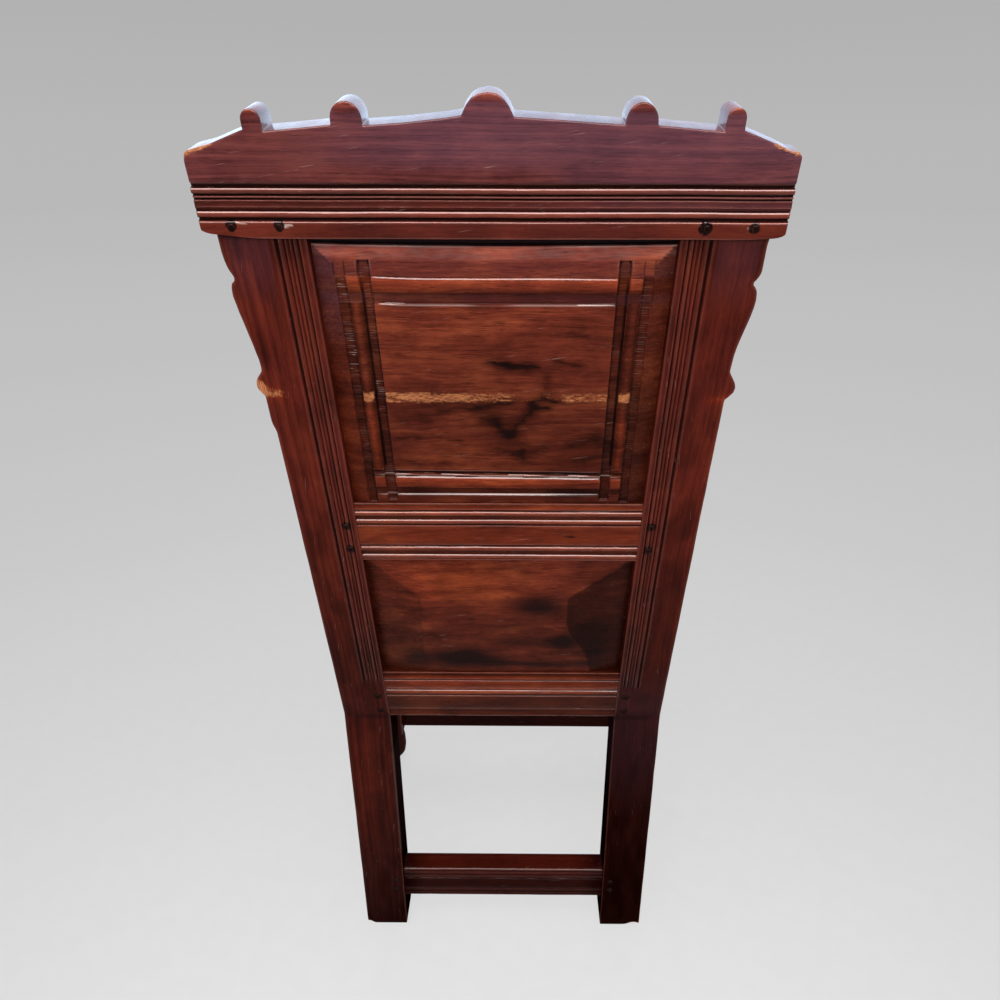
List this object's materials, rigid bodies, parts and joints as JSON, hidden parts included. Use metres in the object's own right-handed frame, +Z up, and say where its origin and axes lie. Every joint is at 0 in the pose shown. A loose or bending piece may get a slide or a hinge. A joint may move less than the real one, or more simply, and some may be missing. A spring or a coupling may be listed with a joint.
{
  "type": "wainscot chair",
  "caption": "Joined armchair with a raked panelled back, a moulded crest with sawn round-topped finials, turned front posts, flat arms, a board seat and low stretchers.",
  "frame": {"origin": "on the floor, under the middle of the whole chair's box", "axes": "+Z up, the sitter faces -Y, +X to the sitter's left"},
  "size_m": [0.572, 0.607, 1.2114],
  "materials": {
    "post_wood": "old polished hardwood, dark reddish brown, upright grain, worn arrises",
    "rail_wood": "old polished hardwood, reddish brown, grain along the rail",
    "panel_wood": "old polished hardwood, reddish brown with dark knots and stains, grain across",
    "seat_wood": "old polished hardwood, reddish brown, worn where it is sat on",
    "peg_wood": "end grain of riven pegs, nearly black with polish"
  },
  "bodies": {
    "root": {"arm_left": "post_wood", "arm_pegs": "peg_wood", "arm_right": "post_wood", "bottom_rail": "rail_wood", "bottom_rail_pegs": "peg_wood", "crest_pegs": "peg_wood", "crest_rail": "rail_wood", "front_post_left": "post_wood", "front_post_right": "post_wood", "front_rail_pegs": "peg_wood", "front_seat_board": "seat_wood", "front_seat_rail": "rail_wood", "front_stretcher": "rail_wood", "front_stretcher_pegs": "peg_wood", "lower_panel": "panel_wood", "middle_rail": "rail_wood", "middle_rail_pegs": "peg_wood", "rear_post_left": "post_wood", "rear_post_right": "post_wood", "rear_seat_board": "seat_wood", "rear_stretcher": "rail_wood", "rear_stretcher_pegs": "peg_wood", "seat_pegs": "peg_wood", "side_rail_pegs": "peg_wood", "side_seat_rail_left": "rail_wood", "side_seat_rail_right": "rail_wood", "side_stretcher_left": "rail_wood", "side_stretcher_pegs": "peg_wood", "side_stretcher_right": "rail_wood", "upper_panel": "panel_wood"}
  },
  "joints": []
}
